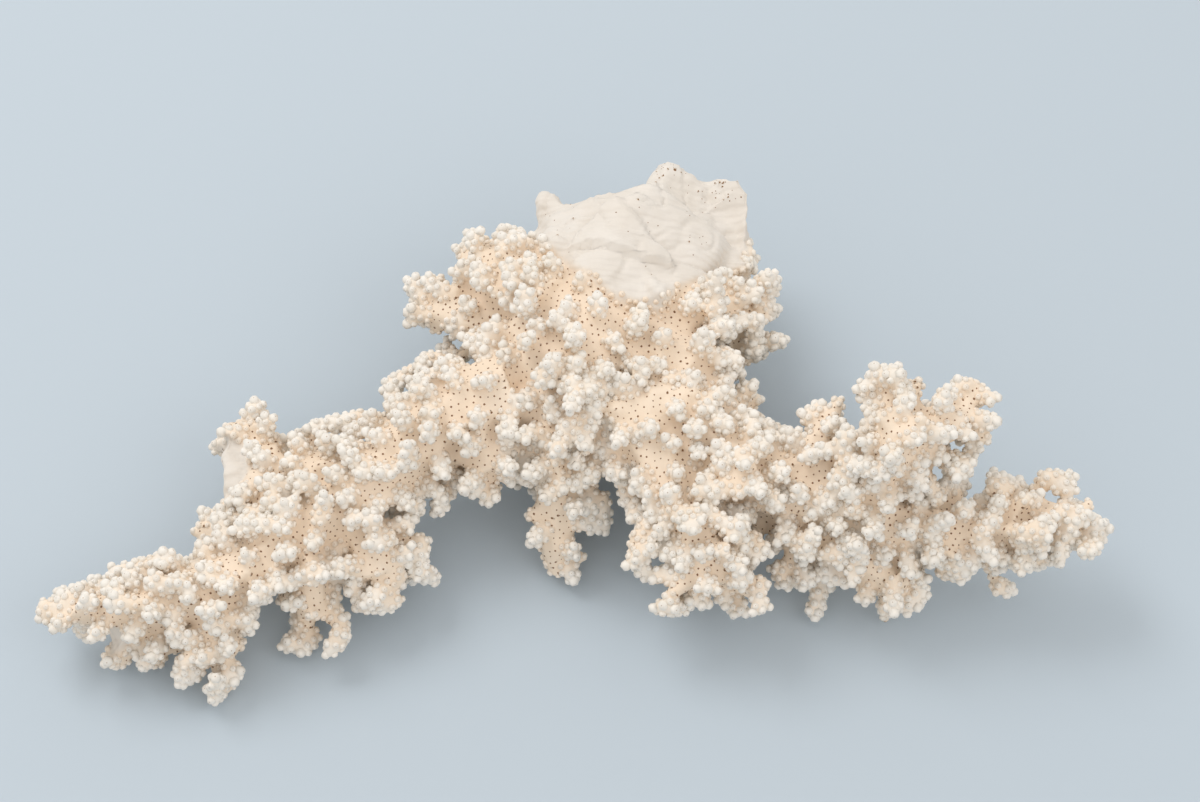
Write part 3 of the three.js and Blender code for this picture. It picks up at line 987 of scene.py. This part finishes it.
def makePieces():
    limbOfSkin = limbOfSpots(skinPoints[skinFaces].mean(1))
    for number, limb in enumerate(limbNames):
        used, faces = np.unique(skinFaces[limbOfSkin == number], return_inverse=True)
        lip, lipNormals, faces = lippedPatch(skinPoints[used], skinNormals[used], faces.reshape(-1, 3))
        points, normals = [skinPoints[used], lip], [skinNormals[used], lipNormals]
        hidden = np.zeros(len(lip))
        lifts = [raised[used] * patch["rimPale"], hidden]
        bare, mouthShade = [holdfastShare[used], hidden], [np.zeros(len(used)), hidden]
        first = len(used) + len(lip)
        allFaces = [faces]
        cups = np.flatnonzero(limbOfSkin[cupFace] == number)
        pores = np.flatnonzero(limbOfSkin[poreFace] == number)
        for mine, shapePoints, shapeNormals, shapeFaces, lift in (
                (cups, cupPoints, cupNormals, cupFaces,
                 patch["cupPale"] + (1 - patch["cupPale"]) * cupRaised),
                (pores, porePoints, poreNormals, poreFaces, np.zeros(len(poreFace)))):
            count, each = len(mine), shapePoints.shape[1]
            points.append(shapePoints[mine].reshape(-1, 3))
            normals.append(shapeNormals[mine].reshape(-1, 3))
            start = first + np.arange(count) * each
            allFaces.append((shapeFaces[None] + start[:, None, None]).reshape(-1, 3))
            lifts.append(np.repeat(lift[mine], each))
            bare.append(np.zeros(count * each))
            # the middle point of each cup and pore carries the painted shade of its opening
            middleOnly = np.zeros(each)
            middleOnly[-1] = 1 if shapePoints is cupPoints else 2
            mouthShade.append(np.tile(middleOnly, count))
            first += count * each
        mesh = meshFrom(limb + "_skin", np.concatenate(points), np.concatenate(allFaces))
        mesh.polygons.foreach_set("use_smooth", np.ones(len(mesh.polygons), bool))
        mesh.normals_split_custom_set_from_vertices([tuple(n) for n in np.concatenate(normals)])
        for name, values in (("raised", lifts), ("bare", bare), ("mouthShade", mouthShade)):
            layer = mesh.attributes.new(name, "FLOAT", "POINT")
            layer.data.foreach_set("value", np.concatenate(values).astype(np.float32))
        mesh.materials.append(coral)
        piece = bpy.data.objects.new(limb + "_skin", mesh)
        bpy.context.scene.collection.objects.link(piece)
        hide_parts(limb)
        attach(piece, "root")
        print(f"  {limb}: {len(mesh.polygons)} triangles, {len(cups)} cups, {len(pores)} pores")


makePieces()
report("pieces made")


studio = {
    "floorColour": (0.50, 0.57, 0.63),
    "floorRoughness": 0.7,
    "floorReach": 6,  # m to each side
    "elevation": 58,  # degrees above the floor
    "distance": 1.1,  # m
    "lens": 84.7,  # mm on a 36 mm sensor
    "aim": (0.0128, 0.0055, -0.0016),  # m from the middle of the coral's box
    "sky": (1.0, 0.985, 0.965),
    "skyStrength": 0.84,
    "lights": [  # name, place in m, size in m and power in W
        ("window", (-0.9, 0.8, 1.7), 1.1, 13), ("fill", (1.2, -0.8, 1.4), 1.4, 4)],
}


def makeStudio():
    middle = (cadLow + cadHigh) / 2
    floorMesh = bpy.data.meshes.new("floor")
    reach = studio["floorReach"]
    corners = [(-reach, -reach, 0), (reach, -reach, 0), (reach, reach, 0), (-reach, reach, 0)]
    floorMesh.from_pydata(corners, [], [(0, 1, 2, 3)])
    floor = bpy.data.objects.new("floor", floorMesh)
    paint = bpy.data.materials.new("floorPaint")
    paint.use_nodes = True
    surface = paint.node_tree.nodes["Principled BSDF"]
    surface.inputs["Base Color"].default_value = (*studio["floorColour"], 1)
    surface.inputs["Roughness"].default_value = studio["floorRoughness"]
    floorMesh.materials.append(paint)
    bpy.context.scene.collection.objects.link(floor)

    world = bpy.data.worlds.new("studio")
    bpy.context.scene.world = world
    world.use_nodes = True
    world.node_tree.nodes["Background"].inputs[0].default_value = (*studio["sky"], 1)
    world.node_tree.nodes["Background"].inputs[1].default_value = studio["skyStrength"]
    for name, place, size, power in studio["lights"]:
        light = bpy.data.lights.new(name, "AREA")
        light.shape, light.size, light.energy = "DISK", size, power
        lamp = bpy.data.objects.new(name, light)
        lamp.location = place
        lamp.rotation_euler = (middle - lamp.location).to_track_quat("-Z", "Y").to_euler()
        bpy.context.scene.collection.objects.link(lamp)

    aim = middle + Vector(studio["aim"])
    rise = math.radians(studio["elevation"])
    lens = bpy.data.cameras.new("camera")
    lens.lens, lens.sensor_width = studio["lens"], 36
    camera = bpy.data.objects.new("camera", lens)
    camera.location = aim + Vector((0, -math.cos(rise), math.sin(rise))) * studio["distance"]
    camera.rotation_euler = (aim - camera.location).to_track_quat("-Z", "Y").to_euler()
    bpy.context.scene.collection.objects.link(camera)
    bpy.context.scene.camera = camera
    bpy.context.scene.view_settings.view_transform = "Standard"


makeStudio()
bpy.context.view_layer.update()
report("studio made")
